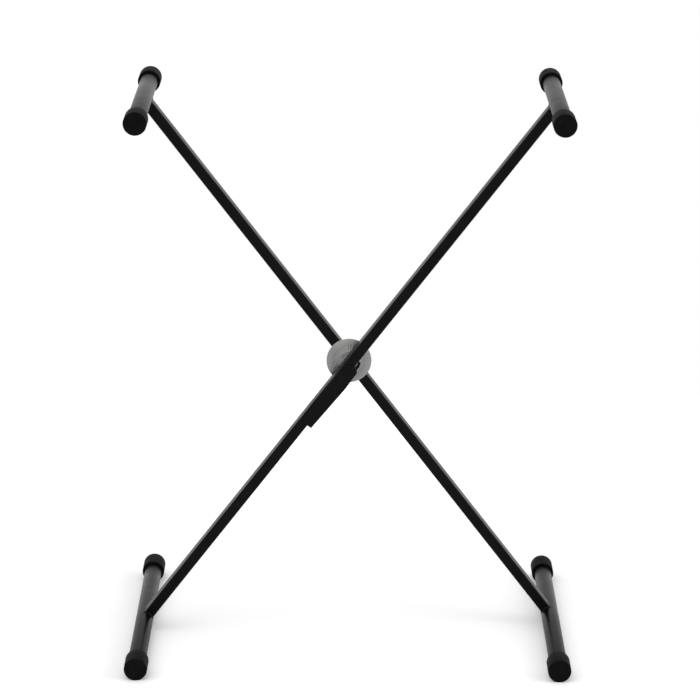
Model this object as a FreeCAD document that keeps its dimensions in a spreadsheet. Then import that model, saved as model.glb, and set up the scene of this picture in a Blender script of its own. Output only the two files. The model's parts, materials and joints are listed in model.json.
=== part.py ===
"""Folding keyboard stand: two crossed leg frames on one pivot, locked by a toothed hub and a trigger.

World frame: +X to the player's right, -Y towards the viewer, +Z up, millimetres. The origin is on the
floor, under the pivot. Each leg frame also has a frame of its own, with its origin on the pivot axis at
the mid-plane between the legs: x across the leg, y from front to back, z up along the leg. The front
leg leans to the right (lower left to upper right) and the back leg leans to the left.
"""
import FreeCAD, Part

import math
import os

import Sketcher
from FreeCAD import Placement, Rotation, Vector

DRIVING_DIMENSIONS = (
    # Stance and main lengths
    ("half_angle", 37.53, "lean of each leg from the vertical, standing, in degrees"),
    ("leg_to_foot", 491, "pivot axis to the axis of a foot tube"),
    ("leg_to_arm", 482, "pivot axis to the axis of an arm tube"),
    ("foot_length", 460, "length of a foot tube"),
    ("arm_length", 360, "length of an arm tube"),
    # Rectangular leg tube
    ("leg_width", 15, "leg tube across the leg, in the plane of folding"),
    ("leg_depth", 25, "leg tube from front to back"),
    ("leg_wall", 1.2, "wall of the leg tube"),
    ("leg_corner", 2.5, "outer corner radius of the leg tube"),
    ("leg_gap", 6, "space between the two legs"),
    # Round tubes, their rubber caps and the welds
    ("tube_dia", 25.4, "outer diameter of the foot and arm tubes"),
    ("tube_wall", 1.2, "wall of the foot and arm tubes"),
    ("cap_dia", 33, "outer diameter of a rubber cap"),
    ("cap_length", 40, "overall length of a rubber cap"),
    ("cap_end", 3, "end wall of a rubber cap"),
    ("cap_edge", 1.2, "bevel around the closed end of a cap"),
    ("cap_flat", 0.5, "depth to which a foot cap is flattened where it bears on the floor"),
    ("weld_leg", 2, "leg length of the fillet welds"),
    ("slip_fit", 0.05, "radial clearance of turning and slipped-on pieces"),
    # Pivot
    ("bolt_dia", 8, "shank of the pivot bolt"),
    ("bolt_head_dia", 11, "countersunk head of the pivot bolt, flush with the leg under the trigger"),
    ("bolt_tail", 3, "bolt end that stands out of the lock nut"),
    ("socket_flats", 5, "hexagon socket in the bolt head, across flats"),
    ("socket_depth", 2.4, "depth of the hexagon socket"),
    ("sleeve_dia", 12, "outer diameter of the crush sleeves"),
    ("nut_flats", 13, "lock nut, across flats"),
    ("nut_height", 6.5, "hexagon part of the lock nut"),
    ("nut_collar_dia", 11.6, "collar of the lock nut"),
    ("nut_collar_height", 1.6, "height of the collar of the lock nut"),
    ("nut_ring_dia", 10.2, "outer diameter of the nylon ring in the collar"),
    ("washer_dia", 17, "plain washer behind the back leg"),
    ("washer_thickness", 1.6, "thickness of the plain washer"),
    ("shim_dia", 14, "thrust washer between front leg and hub"),
    ("shim_thickness", 0.7, "thickness of the thrust washer"),
    # Locking disc and toothed hub
    ("disc_dia", 65, "locking disc"),
    ("disc_thickness", 2.5, "locking disc at its flat middle"),
    ("disc_flat_dia", 45, "flat middle of the disc, inside its sloping rim"),
    ("disc_edge", 1.3, "thickness of the disc at its edge"),
    ("disc_bevel", 0.5, "bevel around the front of the disc's edge"),
    ("flute_inner_dia", 30, "inner end of the radial flutes"),
    ("flute_outer_dia", 43, "outer end of the radial flutes"),
    ("flute_depth", 0.3, "depth of a radial flute"),
    ("flute_width", 1.0, "width of a radial flute"),
    ("flute_count", 36, "radial flutes around the disc"),
    ("hub_dia", 26.4, "toothed hub over its teeth"),
    ("hub_teeth", 72, "teeth around the hub"),
    ("tooth_land", 0.15, "flat left on the crest of a hub tooth"),
    ("ray_inner_dia", 15, "inner end of the radial grooves in the face of the hub"),
    ("rivet_spacing", 19, "distance between the two blind hub rivets"),
    ("rivet_dia", 4, "shank of a hub rivet"),
    ("rivet_cover", 1.2, "metal of the hub left in front of a rivet"),
    ("rivet_tail_dia", 6, "formed tail of a hub rivet, inside the leg"),
    ("rivet_tail_height", 1.5, "height of the formed tail"),
    # Pawl plate
    ("pawl_thickness", 1.8, "steel plate that carries the pawl teeth"),
    ("pawl_gap", 0.7, "pawl plate to the flat of the disc"),
    ("pawl_clearance", 0.6, "hook of the pawl plate to the hub over its teeth"),
    ("pawl_hook_width", 3.2, "radial width of the hook"),
    ("pawl_hook_top", 8, "height of the hook's tip above the pivot, along the leg"),
    ("pawl_eye_wall", 3.5, "metal around the lever pin in the pawl plate"),
    ("pawl_angle", 31.6, "direction of the middle pawl tooth below the leg's normal, in degrees"),
    ("pawl_teeth", 5, "teeth of the pawl"),
    ("mesh_clearance", 0.1, "tip clearance of the pawl teeth in the hub"),
    ("pawl_tail", 52, "end of the pawl plate below the pivot, along the leg"),
    # Trigger grip
    ("grip_length", 107, "end of the grip below the pivot, along the leg"),
    ("grip_head_radius", 11, "round head of the front flange, over the pivot bolt"),
    ("grip_head_reach", 4.5, "centre of the round head from the middle of the leg"),
    ("grip_head_drop", 7, "centre of the round head below the pivot, along the leg"),
    ("grip_shoulder_edge", 6.3, "free edge of the front flange at its shoulder, towards the leg's top side"),
    ("grip_shoulder_drop", 38, "shoulder of the front flange below the pivot, along the leg"),
    ("grip_tail_edge", 3, "free edge of the front flange at its lower end, towards the leg's top side"),
    ("grip_clearance", 0.4, "front flange to the front of the leg"),
    ("grip_flange", 2, "thickness of the flanges"),
    ("grip_web", 2, "thickness of the web"),
    ("grip_tail_reach", 13.6, "outside of the web from the middle of the leg, at the lower end"),
    ("grip_knee_reach", 16.6, "outside of the web from the middle of the leg, at the widest place"),
    ("grip_knee_drop", 30, "widest place below the pivot, along the leg"),
    ("grip_crown_reach", 15.4, "outside of the web from the middle of the leg, at the top"),
    ("grip_crown_drop", 1, "top of the web below the pivot, along the leg"),
    ("grip_edge", 0.7, "bevel of the outer edges of the grip"),
    ("grip_back_top", 56, "top of the rear flange below the pivot, along the leg"),
    ("grip_back_low", 66, "end of the slope at the top of the rear flange, along the leg"),
    ("grip_back_edge", 2, "free edge of the rear flange, from the middle of the leg"),
    ("boss_dia", 5.4, "screw bosses inside the grip"),
    ("boss_reach", 12.2, "screw bosses from the middle of the leg"),
    ("boss_upper_drop", 15.5, "upper screw boss below the pivot, along the leg"),
    ("boss_lower_drop", 42, "lower screw boss below the pivot, along the leg"),
    ("screw_dia", 2.9, "thread of the grip screws"),
    ("screw_length", 9, "grip screws over all"),
    ("screw_head_dia", 5, "countersunk head of the grip screws"),
    ("screw_head_height", 1.2, "height of the countersunk head"),
    # Lever pin and return spring
    ("pin_reach", 3, "lever pin from the middle of the leg"),
    ("pin_drop", 20, "lever pin below the pivot, along the leg"),
    ("pin_dia", 5, "shank of the lever pin"),
    ("pin_head_dia", 8, "head of the lever pin, sunk in the front flange"),
    ("pin_head_height", 1.1, "height of the head of the lever pin"),
    ("pin_tail_dia", 6.6, "formed tail of the lever pin behind the pawl plate"),
    ("pin_tail_height", 0.4, "height of the formed tail"),
    ("leaf_foot_drop", 74, "lower end of the return spring below the pivot, along the leg"),
    ("leaf_foot_length", 8, "straight foot of the return spring, against the web"),
    ("leaf_bend", 38, "bend of the arm of the return spring, in degrees"),
    ("leaf_curl", 2.5, "bend radius of the rubbing tip of the return spring"),
    ("leaf_width", 8, "width of the return spring"),
    ("leaf_thickness", 0.5, "thickness of the return spring"),
    ("spigot_dia", 4, "spigot on the web that holds the return spring"),
    ("spigot_height", 2, "height of the spigot"),
)

FRONT, BACK = 1, -1          # sense in which a leg frame leans: +1 to the right, -1 to the left
FOOT, ARM = -1, 1            # end of a leg
MARGIN = "1"                 # how far a cutting profile starts outside the material

LEAN = "dims.half_angle * 1 deg"
PIVOT_HEIGHT = f"dims.leg_to_foot * cos({LEAN}) + dims.cap_dia / 2 - dims.cap_flat"
TURNING_RADIUS = "(dims.bolt_dia / 2 + dims.slip_fit)"

# Places along y, from front to back
FRONT_LEG_FRONT = "(-dims.leg_gap / 2 - dims.leg_depth)"
FRONT_LEG_BACK = "(-dims.leg_gap / 2)"
BACK_LEG_FRONT = "(dims.leg_gap / 2)"
BACK_LEG_BACK = "(dims.leg_gap / 2 + dims.leg_depth)"
DISC_FRONT = f"({BACK_LEG_FRONT} - dims.disc_thickness)"
HUB_FRONT = f"({FRONT_LEG_BACK} + dims.shim_thickness)"
RIVET_FRONT = f"({HUB_FRONT} + dims.rivet_cover)"
PAWL_BACK = f"({DISC_FRONT} - dims.pawl_gap - dims.pin_tail_height)"
PAWL_FRONT = f"({PAWL_BACK} - dims.pawl_thickness)"
FLANGE_BACK = f"({FRONT_LEG_FRONT} - dims.grip_clearance)"
FLANGE_FRONT = f"({FLANGE_BACK} - dims.grip_flange)"
WASHER_BACK = f"({BACK_LEG_BACK} + dims.washer_thickness)"
NUT_BACK = f"({WASHER_BACK} + dims.nut_height + dims.nut_collar_height)"

# Toothed hub: V grooves with flanks at 45 degrees, so a groove is as deep as half its width
HUB_RADIUS = "(dims.hub_dia / 2)"
TOOTH_PITCH = "(pi * dims.hub_dia / dims.hub_teeth)"
ROOT_RADIUS = f"({HUB_RADIUS} - ({TOOTH_PITCH} - dims.tooth_land) / 2)"
HOOK_INNER = f"({HUB_RADIUS} + dims.pawl_clearance)"
HOOK_OUTER = f"({HOOK_INNER} + dims.pawl_hook_width)"
PITCH_ANGLE = "(360 / dims.hub_teeth)"

doc = FreeCAD.newDocument("keyboard_stand")
dims = doc.addObject("Spreadsheet::Sheet", "dims")
subparts = []


def fill_sheet():
    """Write the driving dimensions into the spreadsheet, one aliased row each."""
    for row, (alias, number, meaning) in enumerate(DRIVING_DIMENSIONS, 1):
        dims.set(f"A{row}", alias)
        dims.set(f"B{row}", str(number))
        dims.set(f"C{row}", meaning)
        dims.setAlias(f"B{row}", alias)
    doc.recompute()


def value(expression):
    """The number that an expression on the sheet gives."""
    result = dims.evalExpression(expression)
    return float(getattr(result, "Value", result))


# ---------------------------------------------------------------- bodies, sketches and features


def new_body(label):
    """A body whose label is the name of the piece."""
    body = doc.addObject("PartDesign::Body", label)
    body.Label = label
    subparts.append(body)
    return body


def new_sketch(body, name, plane, offset="0", shift_x=None, turn=None):
    """A sketch on one of the body's own planes, moved along its normal by offset."""
    sketch = body.newObject("Sketcher::SketchObject", name)
    support = next(item for item in body.Origin.OriginFeatures if item.Role == plane)
    sketch.AttachmentSupport = (support, [""])
    sketch.MapMode = "FlatFace"
    sketch.setExpression("AttachmentOffset.Base.z", offset)
    if shift_x:
        sketch.setExpression("AttachmentOffset.Base.x", shift_x)
    if turn:
        sketch.setExpression("AttachmentOffset.Rotation.Angle", f"({turn}) * 1 deg")
    return sketch


def face_sketch(body, name, y, turn=None):
    """A sketch facing the viewer at depth y. Its normal points to -Y, and it draws x and z."""
    return new_sketch(body, name, "XZ_Plane", f"-({y})", turn=turn)


def bind(sketch, kind, elements, expression):
    """Add a constraint whose value follows an expression on the sheet."""
    index = sketch.addConstraint(Sketcher.Constraint(kind, *elements, value(expression)))
    name = f"{kind.lower()}_{index}"
    sketch.renameConstraint(index, name)
    sketch.setExpression(f"Constraints.{name}", expression)


def pin_point(sketch, geometry, point, x, y):
    """Tie one point of a sketch to its place."""
    bind(sketch, "DistanceX", (-1, 1, geometry, point), x)
    bind(sketch, "DistanceY", (-1, 1, geometry, point), y)


def draw_circle(sketch, radius, x="0", y="0"):
    """A circle of the given radius about (x, y)."""
    centre = Vector(value(x), value(y), 0)
    circle = sketch.addGeometry(Part.Circle(centre, Vector(0, 0, 1), value(radius)), False)
    pin_point(sketch, circle, 3, x, y)
    bind(sketch, "Radius", (circle,), radius)


def draw_outline(sketch, corners):
    """A closed outline of straight lines through corners, each a pair of expressions."""
    points = [Vector(value(x), value(y), 0) for x, y in corners]
    ends = points[1:] + points[:1]
    lines = [sketch.addGeometry(Part.LineSegment(a, b), False) for a, b in zip(points, ends)]
    for line, following in zip(lines, lines[1:] + lines[:1]):
        sketch.addConstraint(Sketcher.Constraint("Coincident", line, 2, following, 1))
    for line, (x, y) in zip(lines, corners):
        pin_point(sketch, line, 1, x, y)


def draw_box(sketch, x_low, x_high, y_low, y_high):
    """An upright rectangle between two limits each way."""
    draw_outline(sketch, [(x_low, y_low), (x_high, y_low), (x_high, y_high), (x_low, y_high)])


def draw_rounded_box(sketch, width, height, radius, middle_y):
    """A rectangle with rounded corners about (0, middle_y)."""
    reach_x, reach_y, bend, middle = value(width) / 2, value(height) / 2, value(radius), value(middle_y)
    arcs = []
    for quarter, (side_x, side_y) in enumerate(((1, 1), (-1, 1), (-1, -1), (1, -1))):
        centre = Vector(side_x * (reach_x - bend), middle + side_y * (reach_y - bend), 0)
        start = quarter * math.pi / 2
        circle = Part.Circle(centre, Vector(0, 0, 1), bend)
        arc = sketch.addGeometry(Part.ArcOfCircle(circle, start, start + math.pi / 2), False)
        pin_point(sketch, arc, 3, f"{side_x} * ({width} / 2 - {radius})",
                  f"{middle_y} + {side_y} * ({height} / 2 - {radius})")
        bind(sketch, "Radius", (arc,), radius)
        arcs.append(arc)
    for arc, following in zip(arcs, arcs[1:] + arcs[:1]):
        corner = sketch.getPoint(arc, 2), sketch.getPoint(following, 1)
        line = sketch.addGeometry(Part.LineSegment(*corner), False)
        sketch.addConstraint(Sketcher.Constraint("Tangent", arc, 2, line, 1))
        sketch.addConstraint(Sketcher.Constraint("Tangent", line, 2, following, 1))


def draw_sector(sketch, inner, outer, low, high):
    """A piece of a ring about the origin, to the right of it, between the heights low and high."""
    arcs = []
    for radius in (inner, outer):
        reach = value(radius)
        start, end = math.asin(value(low) / reach), math.asin(value(high) / reach)
        circle = Part.Circle(Vector(), Vector(0, 0, 1), reach)
        arc = sketch.addGeometry(Part.ArcOfCircle(circle, start, end), False)
        pin_point(sketch, arc, 3, "0", "0")
        bind(sketch, "Radius", (arc,), radius)
        bind(sketch, "DistanceY", (-1, 1, arc, 1), low)
        bind(sketch, "DistanceY", (-1, 1, arc, 2), high)
        arcs.append(arc)
    for point in (1, 2):
        ends = [sketch.getPoint(arc, point) for arc in arcs]
        line = sketch.addGeometry(Part.LineSegment(*ends), False)
        for arc, line_end in zip(arcs, (1, 2)):
            sketch.addConstraint(Sketcher.Constraint("Coincident", line, line_end, arc, point))


def pad(body, name, sketch, length, centred=False, backwards=False):
    """Add the sketch's profile, along its normal or against it."""
    feature = body.newObject("PartDesign::Pad", name)
    feature.Profile = sketch
    feature.Midplane = centred
    feature.Reversed = backwards
    feature.setExpression("Length", length)
    return feature


def pocket(body, name, sketch, depth=None, forwards=False):
    """Cut the sketch's profile against its normal, or right through both ways with no depth."""
    feature = body.newObject("PartDesign::Pocket", name)
    feature.Profile = sketch
    if depth is None:
        feature.Type = "ThroughAll"
        feature.Midplane = True
    else:
        feature.Reversed = forwards
        feature.setExpression("Length", depth)
    return feature


def spin(body, name, sketch):
    """Turn the sketch's profile once around its own upright axis."""
    feature = body.newObject("PartDesign::Revolution", name)
    feature.Profile = sketch
    feature.ReferenceAxis = (sketch, ["V_Axis"])
    feature.Angle = 360
    return feature


def carve(body, name, sketch):
    """Cut the sketch's profile once around its own upright axis."""
    feature = body.newObject("PartDesign::Groove", name)
    feature.Profile = sketch
    feature.ReferenceAxis = (sketch, ["V_Axis"])
    feature.Angle = 360
    return feature


def repeat_round(body, name, feature, count, angle):
    """Repeat a feature about the pivot axis."""
    pattern = body.newObject("PartDesign::PolarPattern", name)
    pattern.Originals = [feature]
    axis = next(item for item in body.Origin.OriginFeatures if item.Role == "Y_Axis")
    pattern.Axis = (axis, [""])
    pattern.setExpression("Angle", angle)
    pattern.setExpression("Occurrences", count)
    body.Tip = pattern
    return pattern


def repeat_along_leg(body, name, feature, spacing):
    """Set a second copy of a feature further up the leg."""
    body.AllowCompound = True
    pattern = body.newObject("PartDesign::LinearPattern", name)
    pattern.Originals = [feature]
    axis = next(item for item in body.Origin.OriginFeatures if item.Role == "Z_Axis")
    pattern.Direction = (axis, [""])
    pattern.setExpression("Length", spacing)
    pattern.Occurrences = 2
    body.Tip = pattern
    return pattern


def soften(body, name, kind, size, wanted):
    """Fillet or chamfer the edges of the body so far that wanted() picks."""
    doc.recompute()
    base = body.Tip
    picked = [f"Edge{number}" for number, edge in enumerate(base.Shape.Edges, 1) if wanted(edge)]
    feature = body.newObject(f"PartDesign::{kind}", name)
    feature.Base = (base, picked)
    feature.setExpression("Radius" if kind == "Fillet" else "Size", size)
    return feature


def circle_at(radius, y):
    """A test for full circular edges about the Y axis with this radius and depth."""
    def wanted(edge):
        curve = edge.Curve
        return (isinstance(curve, Part.Circle) and abs(curve.Radius - value(radius)) < 0.01
                and abs(curve.Center.y - value(y)) < 0.01)
    return wanted


def place_on_leg(body, lean):
    """Put a body that is drawn in a leg's own frame on that leg."""
    body.Placement = Placement(Vector(), Rotation(Vector(0, lean, 0), 30))
    body.setExpression("Placement.Base.z", PIVOT_HEIGHT)
    body.setExpression("Placement.Rotation.Angle", LEAN)


def place_on_tube(body, lean, end):
    """Put an upright body on the axis of a foot or arm tube."""
    body.Placement = Placement()
    distance = "dims.leg_to_foot" if end == FOOT else "dims.leg_to_arm"
    body.setExpression("Placement.Base.x", f"{lean * end} * {distance} * sin({LEAN})")
    body.setExpression("Placement.Base.z", f"{PIVOT_HEIGHT} + {end} * {distance} * cos({LEAN})")


def leg_middle(lean):
    """Depth of the middle of a leg tube."""
    return f"{-lean} * (dims.leg_gap + dims.leg_depth) / 2"


# ---------------------------------------------------------------- leg frames


def make_leg_tube(label, lean):
    """Rectangular leg tube, coped at both ends to sit on its round tubes, with its pivot hole."""
    body = new_body(label)
    section = new_sketch(body, f"{label}_section", "XY_Plane", "-dims.leg_to_foot")
    middle = leg_middle(lean)
    draw_rounded_box(section, "dims.leg_width", "dims.leg_depth", "dims.leg_corner", middle)
    draw_rounded_box(section, "(dims.leg_width - 2 * dims.leg_wall)", "(dims.leg_depth - 2 * dims.leg_wall)",
                     "max(dims.leg_corner - dims.leg_wall; 0.3)", middle)
    pad(body, f"{label}_length", section, "dims.leg_to_foot + dims.leg_to_arm")
    cope = face_sketch(body, f"{label}_copes", "0")
    draw_circle(cope, "dims.tube_dia / 2", y="-dims.leg_to_foot")
    draw_circle(cope, "dims.tube_dia / 2", y="dims.leg_to_arm")
    pocket(body, f"{label}_coped", cope)
    pivot_hole = face_sketch(body, f"{label}_pivot_circle", "0")
    draw_circle(pivot_hole, "dims.sleeve_dia / 2")
    pocket(body, f"{label}_pivot_hole", pivot_hole)
    place_on_leg(body, lean)
    return body


def drill_front_leg(body):
    """Holes through both walls of the front leg, in which the lever pin turns."""
    hole = face_sketch(body, "lever_pin_circle", "0")
    draw_circle(hole, "dims.pin_dia / 2 + dims.slip_fit", "dims.pin_reach", "-dims.pin_drop")
    pocket(body, "lever_pin_holes", hole)


def drill_back_leg(body):
    """Holes in the front wall of the back leg for the two hub rivets."""
    hole = face_sketch(body, "rivet_circles", BACK_LEG_FRONT)
    for side in (1, -1):
        draw_circle(hole, "dims.rivet_dia / 2", y=f"{side} * dims.rivet_spacing / 2")
    pocket(body, "rivet_holes", hole, "dims.leg_depth / 2")


def make_round_tube(label, lean, end):
    """Foot or arm tube, from front to back."""
    body = new_body(label)
    section = face_sketch(body, f"{label}_section", "0")
    draw_circle(section, "dims.tube_dia / 2")
    draw_circle(section, "dims.tube_dia / 2 - dims.tube_wall")
    pad(body, f"{label}_length", section, "dims.foot_length" if end == FOOT else "dims.arm_length",
        centred=True)
    place_on_tube(body, lean, end)


def make_caps(label, lean, end):
    """Rubber caps over both ends of a round tube. Foot caps are flattened where they stand."""
    body = new_body(label)
    body.AllowCompound = True
    profile = new_sketch(body, f"{label}_profile", "XY_Plane")
    bore, outside = "dims.tube_dia / 2 + dims.slip_fit", "dims.cap_dia / 2"
    tube_end = "dims.foot_length / 2" if end == FOOT else "dims.arm_length / 2"
    closed, open_end = f"-({tube_end} + dims.cap_end)", f"-({tube_end} + dims.cap_end - dims.cap_length)"
    draw_outline(profile, [("0", closed), (f"{outside} - dims.cap_edge", closed),
                           (outside, f"{closed} + dims.cap_edge"), (outside, open_end), (bore, open_end),
                           (bore, f"-{tube_end}"), ("0", f"-{tube_end}")])
    near = spin(body, f"{label}_near", profile)
    pair = body.newObject("PartDesign::Mirrored", f"{label}_pair")
    pair.Originals = [near]
    pair.MirrorPlane = (next(item for item in body.Origin.OriginFeatures if item.Role == "XZ_Plane"), [""])
    body.Tip = pair
    if end == FOOT:
        sole = face_sketch(body, f"{label}_sole", "0")
        draw_box(sole, "-dims.cap_dia", "dims.cap_dia", "-dims.cap_dia", "-(dims.cap_dia / 2 - dims.cap_flat)")
        pocket(body, f"{label}_flat", sole)
    place_on_tube(body, lean, end)


def make_weld(label, lean, end):
    """Fillet weld around the end of a leg, following the saddle where it meets its round tube."""
    body = new_body(label)
    distance = "dims.leg_to_foot" if end == FOOT else "dims.leg_to_arm"
    tube_axis = f"{end} * {distance}"
    middle = leg_middle(lean)
    section = new_sketch(body, f"{label}_section", "XY_Plane", tube_axis)
    reach_x, reach_y = "(dims.leg_width / 2 + dims.weld_leg)", "(dims.leg_depth / 2 + dims.weld_leg)"
    draw_box(section, f"-{reach_x}", reach_x, f"{middle} - {reach_y}", f"{middle} + {reach_y}")
    draw_rounded_box(section, "dims.leg_width", "dims.leg_depth", "dims.leg_corner", middle)
    pad(body, f"{label}_collar", section, "dims.tube_dia", backwards=end == ARM)
    outside = face_sketch(body, f"{label}_outside", "0")
    reach = "2 * dims.tube_dia"
    draw_box(outside, f"-{reach}", reach, f"{tube_axis} - {reach}", f"{tube_axis} + {reach}")
    draw_circle(outside, "dims.tube_dia / 2 + dims.weld_leg", y=tube_axis)
    pocket(body, f"{label}_trimmed", outside)
    saddle = face_sketch(body, f"{label}_saddle", "0")
    draw_circle(saddle, "dims.tube_dia / 2", y=tube_axis)
    pocket(body, f"{label}_seated", saddle)
    place_on_leg(body, lean)


def make_frame(names, lean):
    """One leg with its foot tube, arm tube, their caps and two welds."""
    leg, foot, arm, prefix = names
    body = make_leg_tube(leg, lean)
    if lean == FRONT:
        drill_front_leg(body)
    else:
        drill_back_leg(body)
    for tube, end in ((foot, FOOT), (arm, ARM)):
        make_round_tube(f"{tube}_tube", lean, end)
        make_caps(f"{tube}_caps", lean, end)
    make_weld(f"{prefix}_foot_weld", lean, FOOT)
    make_weld(f"{prefix}_arm_weld", lean, ARM)


# ---------------------------------------------------------------- pivot


def make_ring(label, lean, outer, inner, y_front, y_back):
    """Plain ring about the pivot axis: a sleeve or a washer."""
    body = new_body(label)
    section = face_sketch(body, f"{label}_section", y_back)
    draw_circle(section, outer)
    draw_circle(section, inner)
    pad(body, f"{label}_length", section, f"{y_back} - {y_front}")
    place_on_leg(body, lean)
    return body


def draw_hexagon(sketch, flats):
    """A hexagon about the origin, given across its flats."""
    corners = [(f"{flats} / sqrt(3) * cos({turn} deg)", f"{flats} / sqrt(3) * sin({turn} deg)")
               for turn in range(0, 360, 60)]
    draw_outline(sketch, corners)


def make_pivot_bolt():
    """Countersunk bolt with a hexagon socket, flush with the front of the leg."""
    body = new_body("pivot_bolt")
    profile = new_sketch(body, "bolt_profile", "XY_Plane")
    shank, head = "dims.bolt_dia / 2", "dims.bolt_head_dia / 2"
    tail = f"{NUT_BACK} + dims.bolt_tail"
    draw_outline(profile, [("0", FRONT_LEG_FRONT), (head, FRONT_LEG_FRONT),
                           (shank, f"{FRONT_LEG_FRONT} + {head} - {shank}"), (shank, tail), ("0", tail)])
    spin(body, "bolt_turned", profile)
    socket = face_sketch(body, "socket_hexagon", f"{FRONT_LEG_FRONT} - {MARGIN}")
    draw_hexagon(socket, "dims.socket_flats")
    pocket(body, "socket", socket, f"dims.socket_depth + {MARGIN}")
    soften(body, "bolt_tail_chamfer", "Chamfer", "dims.bolt_dia / 10", circle_at(shank, tail))
    place_on_leg(body, FRONT)


def make_front_sleeve():
    """Crush sleeve in the front leg, countersunk for the head of the bolt."""
    body = make_ring("front_pivot_sleeve", FRONT, "dims.sleeve_dia / 2", TURNING_RADIUS,
                     FRONT_LEG_FRONT, FRONT_LEG_BACK)
    seat = new_sketch(body, "bolt_head_seat_profile", "XY_Plane")
    head = "dims.bolt_head_dia / 2"
    draw_outline(seat, [("0", FRONT_LEG_FRONT), (head, FRONT_LEG_FRONT), ("0", f"{FRONT_LEG_FRONT} + {head}")])
    carve(body, "bolt_head_seat", seat)


def make_lock_nut():
    """Lock nut: chamfered hexagon, with a collar that holds the nylon ring."""
    body = new_body("pivot_nut")
    hexagon_back = f"({WASHER_BACK} + dims.nut_height)"
    hexagon = face_sketch(body, "nut_hexagon", hexagon_back)
    draw_hexagon(hexagon, "dims.nut_flats")
    pad(body, "nut_block", hexagon, "dims.nut_height")
    collar = face_sketch(body, "nut_collar_circle", NUT_BACK)
    draw_circle(collar, "dims.nut_collar_dia / 2")
    pad(body, "nut_collar", collar, "dims.nut_collar_height")
    corner = new_sketch(body, "nut_corner_profile", "XY_Plane")
    corner_reach, flat_reach = "(dims.nut_flats / sqrt(3))", "(dims.nut_flats / 2)"
    slope = f"(({corner_reach} + {MARGIN} - {flat_reach}) * tan(30 deg))"
    draw_outline(corner, [(flat_reach, hexagon_back), (f"{corner_reach} + {MARGIN}", hexagon_back),
                          (f"{corner_reach} + {MARGIN}", f"{hexagon_back} - {slope}")])
    carve(body, "nut_corners", corner)
    bore = face_sketch(body, "nut_bore_circle", "0")
    draw_circle(bore, TURNING_RADIUS)
    pocket(body, "nut_bore", bore)
    seat = face_sketch(body, "nut_ring_circle", hexagon_back)
    draw_circle(seat, "dims.nut_ring_dia / 2")
    pocket(body, "nut_ring_seat", seat, f"dims.nut_collar_height + {MARGIN}")
    place_on_leg(body, FRONT)
    make_ring("nut_nylon_ring", FRONT, "dims.nut_ring_dia / 2", TURNING_RADIUS, hexagon_back, NUT_BACK)


def make_pivot():
    """Everything on the pivot axis except the disc and the hub."""
    make_pivot_bolt()
    make_front_sleeve()
    make_ring("thrust_washer", FRONT, "dims.shim_dia / 2", TURNING_RADIUS, FRONT_LEG_BACK, HUB_FRONT)
    make_ring("back_pivot_sleeve", BACK, "dims.sleeve_dia / 2", TURNING_RADIUS,
              BACK_LEG_FRONT, BACK_LEG_BACK)
    make_ring("pivot_washer", FRONT, "dims.washer_dia / 2", TURNING_RADIUS, BACK_LEG_BACK, WASHER_BACK)
    make_lock_nut()


# ---------------------------------------------------------------- disc and hub


def draw_rivet_holes(sketch, radius):
    """Two circles along the back leg, one each side of the pivot."""
    for side in (1, -1):
        draw_circle(sketch, radius, y=f"{side} * dims.rivet_spacing / 2")


def draw_groove(sketch, face):
    """Section of a radial V groove in a face at the given depth."""
    half = "dims.flute_width / 2"
    draw_outline(sketch, [(f"{face} - {MARGIN}", f"-{half}"), (face, f"-{half}"),
                          (f"{face} + dims.flute_depth", "0"), (face, half), (f"{face} - {MARGIN}", half)])


def make_locking_disc():
    """Pressed disc on the back leg, with a sloping rim and radial flutes around the hub."""
    body = new_body("locking_disc")
    profile = new_sketch(body, "disc_profile", "XY_Plane")
    rim, flat = "dims.disc_dia / 2", "dims.disc_flat_dia / 2"
    edge_front, bevel = f"{BACK_LEG_FRONT} - dims.disc_edge", "dims.disc_bevel"
    draw_outline(profile, [(TURNING_RADIUS, DISC_FRONT), (flat, DISC_FRONT), (f"{rim} - {bevel}", edge_front),
                           (rim, f"{edge_front} + {bevel}"), (rim, BACK_LEG_FRONT),
                           (TURNING_RADIUS, BACK_LEG_FRONT)])
    spin(body, "disc_blank", profile)
    rivets = face_sketch(body, "disc_rivet_circles", "0")
    draw_rivet_holes(rivets, "dims.rivet_dia / 2")
    pocket(body, "disc_rivet_holes", rivets)
    flute = new_sketch(body, "flute_section", "YZ_Plane", "dims.flute_outer_dia / 2")
    draw_groove(flute, DISC_FRONT)
    cut = pocket(body, "flute", flute, "(dims.flute_outer_dia - dims.flute_inner_dia) / 2")
    repeat_round(body, "flutes", cut, "dims.flute_count", "360")
    place_on_leg(body, BACK)


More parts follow.
